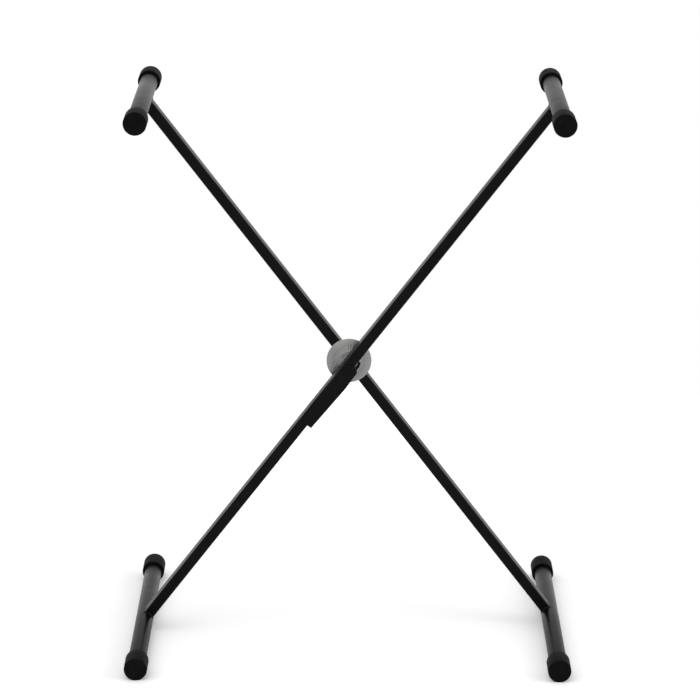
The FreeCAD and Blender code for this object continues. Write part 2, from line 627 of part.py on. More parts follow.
def make_ratchet_hub():
    """Toothed hub on the disc. One tooth space meets the middle pawl tooth at the standing angle."""
    body = new_body("ratchet_hub")
    blank = face_sketch(body, "hub_section", DISC_FRONT)
    draw_circle(blank, HUB_RADIUS)
    draw_circle(blank, TURNING_RADIUS)
    pad(body, "hub_blank", blank, f"{DISC_FRONT} - {HUB_FRONT}")
    seats = face_sketch(body, "hub_rivet_circles", RIVET_FRONT)
    draw_rivet_holes(seats, "dims.rivet_dia / 2")
    pocket(body, "hub_rivet_seats", seats, f"{DISC_FRONT} - {RIVET_FRONT}")
    ray = new_sketch(body, "hub_ray_section", "YZ_Plane", HUB_RADIUS)
    draw_groove(ray, HUB_FRONT)
    cut = pocket(body, "hub_ray", ray, f"{HUB_RADIUS} - dims.ray_inner_dia / 2")
    repeat_round(body, "hub_rays", cut, "dims.flute_count", "360")
    space = face_sketch(body, "tooth_space", "0", turn="-(dims.pawl_angle + 2 * dims.half_angle)")
    beyond = f"({HUB_RADIUS} + {TOOTH_PITCH})"
    draw_outline(space, [(ROOT_RADIUS, "0"), (beyond, f"-({beyond} - {ROOT_RADIUS})"),
                         (beyond, f"{beyond} - {ROOT_RADIUS}")])
    cut = pocket(body, "tooth_cut", space)
    repeat_round(body, "teeth", cut, "dims.hub_teeth", "360")
    place_on_leg(body, BACK)


def make_hub_rivets():
    """Two blind rivets that hold hub and disc to the front wall of the back leg."""
    body = new_body("hub_rivets")
    profile = new_sketch(body, "rivet_profile", "XY_Plane", "-dims.rivet_spacing / 2")
    shank, tail = "dims.rivet_dia / 2", "dims.rivet_tail_dia / 2"
    wall_inside = f"({BACK_LEG_FRONT} + dims.leg_wall)"
    tail_end = f"{wall_inside} + dims.rivet_tail_height"
    draw_outline(profile, [("0", RIVET_FRONT), (shank, RIVET_FRONT), (shank, wall_inside), (tail, wall_inside),
                           (tail, tail_end), ("0", tail_end)])
    rivet = spin(body, "rivet", profile)
    repeat_along_leg(body, "rivet_pair", rivet, "dims.rivet_spacing")
    place_on_leg(body, BACK)


# ---------------------------------------------------------------- trigger


def make_pawl_plate():
    """Steel plate behind the leg: a toothed hook around the hub, an eye for the pin and a tail."""
    body = new_body("pawl_plate")
    plate = face_sketch(body, "plate_outline", PAWL_BACK)
    eye = "(dims.pin_dia / 2 + dims.pawl_eye_wall)"
    outer_edge = f"({HOOK_OUTER} * cos(dims.pawl_angle * 1 deg))"
    hook_low = f"(-{HOOK_OUTER} * sin(dims.pawl_angle * 1 deg))"
    tail_edge = "dims.boss_reach - dims.boss_dia / 2"
    eye_left = f"dims.pin_reach - {eye}"
    draw_outline(plate, [(eye_left, f"-dims.pin_drop - {eye}"), (eye_left, f"-dims.pin_drop + {eye}"),
                         ("0", "0"), (outer_edge, hook_low), (outer_edge, "-dims.pawl_tail"),
                         (tail_edge, "-dims.pawl_tail"), (tail_edge, f"-dims.pin_drop - 2 * {eye}")])
    pad(body, "plate", plate, "dims.pawl_thickness")
    hook = face_sketch(body, "hook_outline", PAWL_BACK)
    draw_sector(hook, HOOK_INNER, HOOK_OUTER, hook_low, "dims.pawl_hook_top")
    pad(body, "hook", hook, "dims.pawl_thickness")
    clear = face_sketch(body, "hub_clearance_circle", "0")
    draw_circle(clear, HOOK_INNER)
    pocket(body, "hub_clearance", clear)
    tooth = face_sketch(body, "pawl_tooth_outline", PAWL_BACK,
                        turn=f"-dims.pawl_angle + (dims.pawl_teeth - 1) / 2 * {PITCH_ANGLE}")
    tip, base = f"({ROOT_RADIUS} + dims.mesh_clearance)", f"({HOOK_INNER} + dims.pawl_clearance / 2)"
    draw_outline(tooth, [(tip, "0"), (base, f"-({base} - {tip})"), (base, f"{base} - {tip}")])
    tooth_pad = pad(body, "pawl_tooth", tooth, "dims.pawl_thickness")
    repeat_round(body, "pawl_teeth", tooth_pad, "dims.pawl_teeth", f"(dims.pawl_teeth - 1) * {PITCH_ANGLE}")
    holes = face_sketch(body, "plate_hole_circles", "0")
    draw_circle(holes, "dims.pin_dia / 2", "dims.pin_reach", "-dims.pin_drop")
    for drop in ("dims.boss_upper_drop", "dims.boss_lower_drop"):
        draw_circle(holes, "dims.screw_dia / 2", "dims.boss_reach", f"-{drop}")
    pocket(body, "plate_holes", holes)
    sink = new_sketch(body, "plate_countersink_profile", "XY_Plane", "-dims.boss_lower_drop", "dims.boss_reach")
    draw_outline(sink, [("0", PAWL_BACK), ("dims.screw_head_dia / 2", PAWL_BACK),
                        ("dims.screw_dia / 2", f"{PAWL_BACK} - dims.screw_head_height"),
                        ("0", f"{PAWL_BACK} - dims.screw_head_height")])
    groove = carve(body, "plate_countersink", sink)
    repeat_along_leg(body, "plate_countersinks", groove, "dims.boss_lower_drop - dims.boss_upper_drop")
    place_on_leg(body, FRONT)


def make_grip_screws():
    """Two countersunk screws that hold the pawl plate to the bosses of the grip."""
    body = new_body("grip_screws")
    profile = new_sketch(body, "screw_profile", "XY_Plane", "-dims.boss_lower_drop", "dims.boss_reach")
    shank, head = "dims.screw_dia / 2", "dims.screw_head_dia / 2"
    draw_outline(profile, [("0", PAWL_BACK), (head, PAWL_BACK), (shank, f"{PAWL_BACK} - dims.screw_head_height"),
                           (shank, f"{PAWL_BACK} - dims.screw_length"), ("0", f"{PAWL_BACK} - dims.screw_length")])
    screw = spin(body, "screw", profile)
    repeat_along_leg(body, "screw_pair", screw, "dims.boss_lower_drop - dims.boss_upper_drop")
    place_on_leg(body, FRONT)


def web_reach_at(drop):
    """Outside of the web from the middle of the leg, at a drop below its widest place."""
    return (f"(dims.grip_knee_reach - (dims.grip_knee_reach - dims.grip_tail_reach) * "
            f"({drop} - dims.grip_knee_drop) / (dims.grip_length - dims.grip_knee_drop))")


LEAF_BACK = f"({web_reach_at('dims.leaf_foot_drop')} - dims.grip_web - dims.slip_fit)"
SPIGOT_HEIGHT = "(-dims.leaf_foot_drop + dims.leaf_foot_length / 2)"


def make_trigger_grip():
    """Moulded grip: a channel around the lower side of the front leg, with a round head over the bolt."""
    body = new_body("trigger_grip")
    web = face_sketch(body, "grip_outline", PAWL_FRONT)
    crown_inside = "(dims.grip_crown_reach - dims.grip_web)"
    tail_inside = "(dims.grip_tail_reach - dims.grip_web)"
    draw_outline(web, [(tail_inside, "-dims.grip_length"), ("dims.grip_tail_reach", "-dims.grip_length"),
                       ("dims.grip_knee_reach", "-dims.grip_knee_drop"),
                       ("dims.grip_crown_reach", "-dims.grip_crown_drop"), (crown_inside, "-dims.grip_crown_drop"),
                       ("dims.grip_knee_reach - dims.grip_web", "-dims.grip_knee_drop")])
    pad(body, "web", web, f"{PAWL_FRONT} - {FLANGE_FRONT}")
    flange = face_sketch(body, "front_flange_outline", FLANGE_BACK)
    head_left = "dims.grip_head_reach - dims.grip_head_radius"
    head_right = "dims.grip_head_reach + dims.grip_head_radius"
    draw_outline(flange, [("-dims.grip_tail_edge", "-dims.grip_length"),
                          ("dims.grip_tail_reach", "-dims.grip_length"),
                          ("dims.grip_knee_reach", "-dims.grip_knee_drop"),
                          (head_right, "-dims.grip_head_drop"), (head_left, "-dims.grip_head_drop"),
                          ("-dims.grip_shoulder_edge", "-dims.grip_shoulder_drop")])
    pad(body, "front_flange", flange, "dims.grip_flange")
    head = face_sketch(body, "head_circle", FLANGE_BACK)
    draw_circle(head, "dims.grip_head_radius", "dims.grip_head_reach", "-dims.grip_head_drop")
    pad(body, "head", head, "dims.grip_flange")

    def outer_rim(edge):
        """Edges around the front face."""
        first, last = edge.valueAt(edge.FirstParameter), edge.valueAt(edge.LastParameter)
        return all(abs(p.y - value(FLANGE_FRONT)) < 0.01 for p in (first, last))

    soften(body, "grip_rim_bevel", "Chamfer", "dims.grip_edge", outer_rim)
    rear = face_sketch(body, "rear_flange_outline", PAWL_BACK)
    draw_outline(rear, [("dims.grip_back_edge", "-dims.grip_length"), ("dims.grip_tail_reach", "-dims.grip_length"),
                        (web_reach_at("dims.grip_back_top"), "-dims.grip_back_top"),
                        (f"{web_reach_at('dims.grip_back_top')} - 2 * dims.grip_web", "-dims.grip_back_top"),
                        ("dims.grip_back_edge", "-dims.grip_back_low")])
    pad(body, "rear_flange", rear, f"{PAWL_BACK} - {PAWL_FRONT}")
    bosses = face_sketch(body, "boss_circles", PAWL_FRONT)
    pilots = face_sketch(body, "pilot_circles", PAWL_FRONT)
    for drop in ("dims.boss_upper_drop", "dims.boss_lower_drop"):
        draw_circle(bosses, "dims.boss_dia / 2", "dims.boss_reach", f"-{drop}")
        draw_circle(pilots, "dims.screw_dia / 2", "dims.boss_reach", f"-{drop}")
    pad(body, "bosses", bosses, f"{PAWL_FRONT} - {FLANGE_BACK}")
    pocket(body, "pilots", pilots, "dims.screw_length", forwards=True)
    pin_hole = face_sketch(body, "grip_pin_circle", f"{FLANGE_FRONT} - {MARGIN}")
    draw_circle(pin_hole, "dims.pin_dia / 2", "dims.pin_reach", "-dims.pin_drop")
    pocket(body, "grip_pin_hole", pin_hole, f"dims.grip_flange + 2 * {MARGIN}")
    pin_sink = face_sketch(body, "pin_head_circle", f"{FLANGE_FRONT} - {MARGIN}")
    draw_circle(pin_sink, "dims.pin_head_dia / 2", "dims.pin_reach", "-dims.pin_drop")
    pocket(body, "pin_head_sink", pin_sink, f"dims.pin_head_height + {MARGIN}")
    spigot = new_sketch(body, "spigot_circle", "YZ_Plane", f"{LEAF_BACK} + dims.grip_web / 2")
    draw_circle(spigot, "dims.spigot_dia / 2", leg_middle(FRONT), SPIGOT_HEIGHT)
    pad(body, "spring_spigot", spigot, "dims.grip_web / 2 + dims.spigot_height", backwards=True)
    place_on_leg(body, FRONT)


def make_lever_pin():
    """Pin of the trigger: head sunk in the front flange, tail formed over behind the pawl plate."""
    body = new_body("lever_pin")
    profile = new_sketch(body, "pin_profile", "XY_Plane", "-dims.pin_drop", "dims.pin_reach")
    shank, head, tail = "dims.pin_dia / 2", "dims.pin_head_dia / 2", "dims.pin_tail_dia / 2"
    under_head = f"{FLANGE_FRONT} + dims.pin_head_height"
    draw_outline(profile, [("0", FLANGE_FRONT), (head, FLANGE_FRONT), (head, under_head), (shank, under_head),
                           (shank, PAWL_BACK), (tail, PAWL_BACK), (tail, f"{PAWL_BACK} + dims.pin_tail_height"),
                           ("0", f"{PAWL_BACK} + dims.pin_tail_height")])
    spin(body, "pin_turned", profile)
    place_on_leg(body, FRONT)


def make_lever_spring():
    """Leaf spring: a foot held by the spigot of the grip, and an arm that bends over to the leg."""
    body = new_body("lever_spring")
    route = face_sketch(body, "leaf_route", leg_middle(FRONT))
    half, curl, turn = "dims.leaf_thickness / 2", "dims.leaf_curl", "dims.leaf_bend * 1 deg"
    foot_x, rub_x = f"({LEAF_BACK} - {half})", f"(dims.leg_width / 2 + dims.slip_fit + {half})"
    foot_low, foot_high = "-dims.leaf_foot_drop", "(-dims.leaf_foot_drop + dims.leaf_foot_length)"
    # the arm bends away from the foot, and its end curls back off the leg
    bend = f"(({foot_x} - {rub_x}) / (1 - cos({turn})) - {curl})"
    bend_x, curl_x = f"({foot_x} - {bend})", f"({rub_x} + {curl})"
    curl_y = f"({foot_high} + ({bend} + {curl}) * sin({turn}))"
    angle, up = math.radians(value("dims.leaf_bend")), Vector(0, 0, 1)
    foot = route.addGeometry(Part.LineSegment(Vector(value(foot_x), value(foot_low), 0),
                                              Vector(value(foot_x), value(foot_high), 0)), False)
    circle = Part.Circle(Vector(value(bend_x), value(foot_high), 0), up, value(bend))
    arm = route.addGeometry(Part.ArcOfCircle(circle, 0, angle), False)
    circle = Part.Circle(Vector(value(curl_x), value(curl_y), 0), up, value(curl))
    end = route.addGeometry(Part.ArcOfCircle(circle, math.pi / 2, math.pi + angle), False)
    pin_point(route, foot, 1, foot_x, foot_low)
    pin_point(route, foot, 2, foot_x, foot_high)
    route.addConstraint(Sketcher.Constraint("Tangent", foot, 2, arm, 1))
    bind(route, "Radius", (arm,), bend)
    route.addConstraint(Sketcher.Constraint("Tangent", arm, 2, end, 2))
    bind(route, "Radius", (end,), curl)
    bind(route, "DistanceY", (-1, 1, end, 3), curl_y)
    route.addConstraint(Sketcher.Constraint("Vertical", end, 3, end, 1))
    strip = new_sketch(body, "leaf_section", "XY_Plane", foot_low)
    draw_box(strip, f"{foot_x} - {half}", f"{foot_x} + {half}",
             f"{leg_middle(FRONT)} - dims.leaf_width / 2", f"{leg_middle(FRONT)} + dims.leaf_width / 2")
    doc.recompute()
    leaf = body.newObject("PartDesign::AdditivePipe", "leaf")
    leaf.Profile = strip
    leaf.Spine = route
    hole = new_sketch(body, "leaf_hole_circle", "YZ_Plane", LEAF_BACK)
    draw_circle(hole, "dims.spigot_dia / 2 + dims.slip_fit", leg_middle(FRONT), SPIGOT_HEIGHT)
    pocket(body, "leaf_hole", hole)
    place_on_leg(body, FRONT)


def make_trigger():
    """The lever that unlocks the fold, with its pin, screws and spring."""
    make_trigger_grip()
    make_pawl_plate()
    make_grip_screws()
    make_lever_pin()
    make_lever_spring()


# ---------------------------------------------------------------- document


def check_document():
    """Stop if an object failed to build or a piece has no sound shape."""
    doc.recompute()
    for item in doc.Objects:
        if "Invalid" in item.State or "Error" in item.State:
            raise RuntimeError(f"{item.Label} failed: {item.State}")
    for piece in subparts:
        if piece.Shape.isNull() or not piece.Shape.isValid():
            raise RuntimeError(f"{piece.Label} has no sound shape")
        print(f"{piece.Label}: {len(piece.Shape.Solids)} solid(s), {piece.Shape.Volume:.1f} mm3")


def main():
    """Build every piece, check the document and write one file per piece."""
    fill_sheet()
    make_frame(("front_leg_tube", "left_foot", "right_arm", "front"), FRONT)
    make_frame(("back_leg_tube", "right_foot", "left_arm", "back"), BACK)
    make_pivot()
    make_locking_disc()
    make_ratchet_hub()
    make_hub_rivets()
    make_trigger()
    check_document()
    os.makedirs("parts", exist_ok=True)
    for piece in subparts:
        piece.Shape.exportStep(f"parts/{piece.Label}.step")


main()
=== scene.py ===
"""Folding keyboard stand: finishes, modelled pieces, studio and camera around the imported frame.

Lengths are in metres and angles in radians unless a name says otherwise. +X is to the player's right,
-Y towards the viewer and +Z up. A leg has a frame of its own, with its origin on the pivot axis: x
across the leg, y from front to back and z up along the leg.
"""

import json
import logging
import math
from dataclasses import dataclass
from enum import Enum
from typing import Callable, Iterable, Sequence

import bmesh
import bpy
from mathutils import Matrix, Vector


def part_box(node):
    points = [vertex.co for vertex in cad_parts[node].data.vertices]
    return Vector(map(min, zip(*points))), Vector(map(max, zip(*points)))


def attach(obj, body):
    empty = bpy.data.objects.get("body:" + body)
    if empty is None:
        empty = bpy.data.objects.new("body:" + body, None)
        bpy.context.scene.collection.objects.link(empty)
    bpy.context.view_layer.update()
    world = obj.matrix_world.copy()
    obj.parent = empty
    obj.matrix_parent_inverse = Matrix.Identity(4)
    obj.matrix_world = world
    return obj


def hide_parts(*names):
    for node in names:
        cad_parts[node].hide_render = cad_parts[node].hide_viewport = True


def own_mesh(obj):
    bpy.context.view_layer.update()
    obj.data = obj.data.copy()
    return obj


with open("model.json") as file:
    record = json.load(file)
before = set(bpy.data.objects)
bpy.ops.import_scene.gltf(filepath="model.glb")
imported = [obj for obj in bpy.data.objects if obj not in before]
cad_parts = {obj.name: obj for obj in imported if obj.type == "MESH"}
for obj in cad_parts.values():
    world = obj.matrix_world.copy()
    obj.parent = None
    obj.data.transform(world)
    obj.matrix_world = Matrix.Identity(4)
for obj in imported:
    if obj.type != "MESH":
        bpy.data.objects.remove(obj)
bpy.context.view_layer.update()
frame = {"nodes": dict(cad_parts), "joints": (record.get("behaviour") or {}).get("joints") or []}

MM = 0.001
TOUCHING = 1e-7
LOG = logging.getLogger("keyboard_stand")

Colour = tuple[float, float, float]
Profile = Sequence[tuple[float, float]]
Lamp = tuple[str, Sequence[float], float, float]


class Body(Enum):
    """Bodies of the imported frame."""

    FRONT = "front_frame"
    BACK = "back_frame"
    TRIGGER = "trigger"


class Slot(Enum):
    """Material slots of the record."""

    COAT = "frame_coat"
    RUBBER = "cap_rubber"
    TURNED = "turned_metal"
    DARK_STEEL = "dark_steel"
    GRIP = "grip_nylon"
    RING = "ring_nylon"
    SPRING = "spring_steel"
    ZINC = "zinc_steel"


class End(Enum):
    """End of a leg: the sense along the leg in which its round tube lies."""

    FOOT = -1
    ARM = 1


class Lean(Enum):
    """Sense in which a leg leans, and the body it belongs to."""

    RIGHT = 1
    LEFT = -1

    @property
    def body(self) -> Body:
        """Body of the leg that leans this way."""
        return Body.FRONT if self is Lean.RIGHT else Body.BACK


# ---------------------------------------------------------------- materials


class Graph:
    """Node tree of one material, built in short steps around a Principled shader."""

    def __init__(self, name: str) -> None:
        """Start a material.

        Args:
            name: name of the material.
        """
        self.material = bpy.data.materials.new(name)
        self.material.use_nodes = True
        self.tree = self.material.node_tree
        self.tree.nodes.clear()
        self.output = self.add("ShaderNodeOutputMaterial")
        self.shader = self.add("ShaderNodeBsdfPrincipled")
        self.plug(self.shader.outputs["BSDF"], self.output.inputs["Surface"])
        self.coords = self.add("ShaderNodeTexCoord").outputs["Object"]

    def plug(self, source: bpy.types.NodeSocket, target: bpy.types.NodeSocket) -> None:
        """Link two sockets.

        Args:
            source: output socket.
            target: input socket.
        """
        self.tree.links.new(source, target)

    def add(self, kind: str, inputs: dict | None = None, **settings: object) -> bpy.types.Node:
        """Add a node.

        Args:
            kind: type name of the node.
            inputs: values or output sockets by input name or number.
            settings: properties of the node.

        Returns:
            The new node.
        """
        node = self.tree.nodes.new(kind)
        for key, setting in settings.items():
            setattr(node, key, setting)
        for key, given in (inputs or {}).items():
            if isinstance(given, bpy.types.NodeSocket):
                self.plug(given, node.inputs[key])
            else:
                node.inputs[key].default_value = given
        return node

    def noise(self, size: float, detail: float = 2.0, coords: bpy.types.NodeSocket | None = None,
              stretch: Sequence[float] = (1.0, 1.0, 1.0)) -> bpy.types.NodeSocket:
        """Noise with grains of a real size.

        Args:
            size: size of a grain.
            detail: octaves of finer noise.
            coords: where to read it, object coordinates by default.
            stretch: factor on each axis, under 1 to draw the grains out.

        Returns:
            The factor socket, about 0.3 to 0.7.
        """
        coords = coords or self.coords
        if tuple(stretch) != (1.0, 1.0, 1.0):
            coords = self.add("ShaderNodeMapping", {"Vector": coords, "Scale": stretch}).outputs["Vector"]
        inputs = {"Vector": coords, "Scale": 1.0 / size, "Detail": detail}
        return self.add("ShaderNodeTexNoise", inputs).outputs["Fac"]

    def spread(self, source: bpy.types.NodeSocket, low: float, high: float,
               start: float = 0.3, end: float = 0.7) -> bpy.types.NodeSocket:
        """Map a factor onto a range.

        Args:
            source: factor socket.
            low: result at start.
            high: result at end.
            start: lower end of the factor.
            end: upper end of the factor.

        Returns:
            The mapped socket.
        """
        return self.add("ShaderNodeMapRange", {0: source, 1: start, 2: end, 3: low, 4: high}).outputs[0]

    def tint(self, source: bpy.types.NodeSocket, dark: Colour, light: Colour,
             start: float = 0.3, end: float = 0.7) -> bpy.types.NodeSocket:
        """Colour between two tones.

        Args:
            source: factor socket.
            dark: colour at start.
            light: colour at end.
            start: lower end of the factor.
            end: upper end of the factor.

        Returns:
            The colour socket.
        """
        ramp = self.add("ShaderNodeValToRGB", {"Fac": source})
        for element, place, colour in zip(ramp.color_ramp.elements, (start, end), (dark, light)):
            element.position = place
            element.color = (*colour, 1.0)
        return ramp.outputs["Color"]

    def bump(self, height: bpy.types.NodeSocket, distance: float, strength: float = 1.0,
             normal: bpy.types.NodeSocket | None = None) -> bpy.types.NodeSocket:
        """Relief of a real depth.

        Args:
            height: height socket, 0 to 1.
            distance: depth for a height of 1.
            strength: share of the relief that is used.
            normal: relief that lies under this one.

        Returns:
            The normal socket.
        """
        inputs = {"Height": height, "Distance": distance, "Strength": strength}
        if normal is not None:
            inputs["Normal"] = normal
        return self.add("ShaderNodeBump", inputs).outputs["Normal"]

    def maths(self, operation: str, first: object, second: object = 0.0) -> bpy.types.NodeSocket:
        """One sum.

        Args:
            operation: name of the operation.
            first: number or socket.
            second: number or socket.

        Returns:
            The result socket.
        """
        return self.add("ShaderNodeMath", {0: first, 1: second}, operation=operation).outputs[0]

    def vector(self, operation: str, first: object, second: object = (0.0, 0.0, 0.0),
               result: str = "Vector") -> bpy.types.NodeSocket:
        """One vector sum.

        Args:
            operation: name of the operation.
            first: vector or socket.
            second: vector or socket.
            result: name of the output.

        Returns:
            The result socket.
        """
        return self.add("ShaderNodeVectorMath", {0: first, 1: second}, operation=operation).outputs[result]

    def soft_edges(self, radius: float) -> bpy.types.NodeSocket:
        """Normal that rounds sharp edges a little.

        Args:
            radius: radius of the rounding.

        Returns:
            The normal socket.
        """
        return self.add("ShaderNodeBevel", {"Radius": radius}, samples=4).outputs["Normal"]

    def set(self, **values: object) -> None:
        """Give values or sockets to the Principled shader.

        Args:
            values: by input name, with _ for a space.
        """
        for key, given in values.items():
            socket = self.shader.inputs[key.replace("_", " ")]
            if isinstance(given, bpy.types.NodeSocket):
                self.plug(given, socket)
            else:
                socket.default_value = given


@dataclass(frozen=True)
class PowderCoat:
    """Satin black powder coat with a fine orange peel."""

    dark: Colour = (0.0009, 0.0009, 0.001)
    light: Colour = (0.0024, 0.0024, 0.0027)
    peel: float = 1.3 * MM
    peel_depth: float = 0.02 * MM
    dust: float = 0.25 * MM
    dust_depth: float = 0.004 * MM
    edge: float = 0.5 * MM

    def build(self) -> bpy.types.Material:
        """Make the material.

        Returns:
            The new material.
        """
        graph = Graph("powder_coat")
        blotch = graph.noise(45 * MM, 3)
        peel = graph.noise(self.peel, 1)
        dust = graph.noise(self.dust, 1)
        relief = graph.bump(peel, self.peel_depth, 0.6, graph.soft_edges(self.edge))
        rough = graph.maths("ADD", graph.spread(blotch, 0.30, 0.37), graph.spread(dust, -0.02, 0.03))
        graph.set(Base_Color=graph.tint(graph.noise(16 * MM, 4), self.dark, self.light), Roughness=rough,
                  Specular_IOR_Level=0.08, Normal=graph.bump(dust, self.dust_depth, 0.5, relief))
        return graph.material


@dataclass(frozen=True)
class MouldedRubber:
    """Matt black rubber with a fine moulded grain and a painted highlight: paler colour on its convex rims,
    in patches.
    """

    dark: Colour = (0.002, 0.002, 0.0021)
    light: Colour = (0.0042, 0.0042, 0.0044)
    rim_highlight: Colour = (0.013, 0.013, 0.0135)

    def build(self) -> bpy.types.Material:
        """Make the material.

        Returns:
            The new material.
        """
        graph = Graph("moulded_rubber")
        base = graph.tint(graph.noise(9 * MM, 5), self.dark, self.light)
        # Painted highlight: convex rims, found by Pointiness, are mixed in patches towards a paler colour,
        # as if light caught them.
        edge = graph.spread(graph.add("ShaderNodeNewGeometry").outputs["Pointiness"], 0.0, 0.5, 0.52, 0.62)
        rim_highlight_mask = graph.maths("MULTIPLY", edge, graph.spread(graph.noise(3 * MM, 4), 0.0, 1.0))
        blend = {0: rim_highlight_mask, 6: base, 7: (*self.rim_highlight, 1.0)}
        colour = graph.add("ShaderNodeMix", blend, data_type="RGBA").outputs[2]
        grain = graph.noise(0.5 * MM, 2)
        relief = graph.bump(grain, 0.02 * MM, 0.6, graph.bump(graph.noise(7 * MM, 2), 0.05 * MM, 0.5))
        graph.set(Base_Color=colour, Roughness=graph.spread(graph.noise(12 * MM, 3), 0.58, 0.74),
                  Specular_IOR_Level=0.05, Normal=relief)
        return graph.material


@dataclass(frozen=True)
class TurnedMetal:
    """Face-turned steel: fine rings about an axis along Y, so light runs out from the centre."""

    centre: tuple[float, float, float]
    dark: Colour = (0.27, 0.268, 0.264)
    light: Colour = (0.39, 0.387, 0.382)
    ring_pitch: float = 0.42 * MM
    ring_depth: float = 0.002 * MM
    edge: float = 0.2 * MM

    def build(self) -> bpy.types.Material:
        """Make the material.

        Returns:
            The new material.
        """
        graph = Graph("turned_metal")
        arm = graph.vector("MULTIPLY", graph.vector("SUBTRACT", graph.coords, self.centre), (1.0, 0.0, 1.0))
        radius = graph.vector("LENGTH", arm, result="Value")
        along_radius = graph.add("ShaderNodeCombineXYZ", {0: radius}).outputs[0]
        cuts = graph.noise(0.9 * MM, 4, along_radius)
        wave = graph.maths("SINE", graph.maths("MULTIPLY", radius, 2 * math.pi / self.ring_pitch))
        crests = graph.spread(wave, 0.0, 1.0, -1.0, 1.0)
        rings = graph.bump(crests, self.ring_depth, 0.3, graph.soft_edges(self.edge))
        graph.set(Base_Color=graph.tint(cuts, self.dark, self.light), Metallic=1.0, Anisotropic=0.9,
                  Roughness=graph.spread(graph.noise(14 * MM, 2), 0.42, 0.47),
                  Tangent=graph.vector("NORMALIZE", arm),
                  Normal=graph.bump(cuts, self.ring_depth, 0.4, rings))
        return graph.material


@dataclass(frozen=True)
class PlatedSteel:
    """Metal with a thin finish: zinc plate, black oxide or bright rolled strip."""

    name: str
    dark: Colour
    light: Colour
    rough: tuple[float, float]
    grain: float = 0.8 * MM
    stretch: tuple[float, float, float] = (1.0, 1.0, 1.0)
    relief_depth: float = 0.006 * MM
    edge: float = 0.15 * MM

    def build(self) -> bpy.types.Material:
        """Make the material.

        Returns:
            The new material.
        """
        graph = Graph(self.name)
        spangle = graph.noise(self.grain, 4, stretch=self.stretch)
        tone = graph.noise(4 * MM, 4, stretch=self.stretch)
        graph.set(Base_Color=graph.tint(tone, self.dark, self.light), Metallic=1.0,
                  Roughness=graph.spread(spangle, *self.rough),
                  Normal=graph.bump(spangle, self.relief_depth, 0.5, graph.soft_edges(self.edge)))
        return graph.material


@dataclass(frozen=True)
class MouldedPlastic:
    """Nylon with a fine eroded texture."""

    name: str
    dark: Colour
    light: Colour
    rough: tuple[float, float]
    grain: float = 0.32 * MM
    grain_depth: float = 0.012 * MM
    edge: float = 0.4 * MM

    def build(self) -> bpy.types.Material:
        """Make the material.

        Returns:
            The new material.
        """
        graph = Graph(self.name)
        grain = graph.noise(self.grain, 3)
        flow = graph.bump(graph.noise(14 * MM, 2), 0.06 * MM, 0.4, graph.soft_edges(self.edge))
        graph.set(Base_Color=graph.tint(graph.noise(6 * MM, 4), self.dark, self.light),
                  Roughness=graph.spread(graph.noise(8 * MM, 3), *self.rough), Specular_IOR_Level=0.08,
                  Normal=graph.bump(grain, self.grain_depth, 0.7, flow))
        return graph.material


# ---------------------------------------------------------------- meshes


def shape(profile: Profile, rounding: dict[int, float] | None = None,
          segments: int = 5) -> bmesh.types.BMesh:
    """Half section of a turned piece, as a chain of edges from radius and depth.

    Args:
        profile: corners of the section, each a radius and a depth.
        rounding: size of the rounding of some corners, by their number.
        segments: facets of a rounding.

    Returns:
        The chain in a new bmesh.
    """
    bm = bmesh.new()
    corners = [bm.verts.new((radius, depth, 0.0)) for radius, depth in profile]
    for first, second in zip(corners, corners[1:]):
        bm.edges.new((first, second))
    for number, size in (rounding or {}).items():
        bmesh.ops.bevel(bm, geom=[corners[number]], offset=size, offset_type="OFFSET", segments=segments,
                        profile=0.5, affect="VERTICES", material=-1)
    return bm


def close(bm: bmesh.types.BMesh) -> None:
    """Merge doubled points and turn all faces outwards.

    Args:
        bm: mesh of closed shells.
    """
    bmesh.ops.remove_doubles(bm, verts=bm.verts, dist=TOUCHING)
    bmesh.ops.dissolve_degenerate(bm, edges=bm.edges, dist=TOUCHING / 10)
    bmesh.ops.recalc_face_normals(bm, faces=bm.faces)


def spin(bm: bmesh.types.BMesh, steps: int, axis: tuple[float, float, float] = (0.0, 1.0, 0.0)) -> None:
    """Turn everything once around an axis through the origin and close it.

    Args:
        bm: half section.
        steps: facets of a full turn.
        axis: direction of the axis.
    """
    bmesh.ops.spin(bm, geom=[*bm.verts, *bm.edges], cent=(0.0, 0.0, 0.0), axis=axis, angle=2 * math.pi,
                   steps=steps, use_merge=True)
    close(bm)


def extrude(bm: bmesh.types.BMesh, faces: Iterable[bmesh.types.BMFace], step: Sequence[float]) -> list:
    """Extrude faces into a solid block.

    Args:
        bm: mesh that holds the faces.
        faces: faces to extrude.
        step: way that the copies move.

    Returns:
        Points of the moved copies.
    """
    made = bmesh.ops.extrude_face_region(bm, geom=list(faces), use_keep_orig=True)["geom"]
    moved = [item for item in made if isinstance(item, bmesh.types.BMVert)]
    bmesh.ops.translate(bm, vec=Vector(step), verts=moved)
    return moved


def leg_matrix(lean: Lean) -> Matrix:
    """Place of a leg's own frame in the world.

    Args:
        lean: which leg.

    Returns:
        The matrix.
    """
    return Matrix.Translation(PIVOT) @ Matrix.Rotation(lean.value * HALF_ANGLE, 4, "Y")


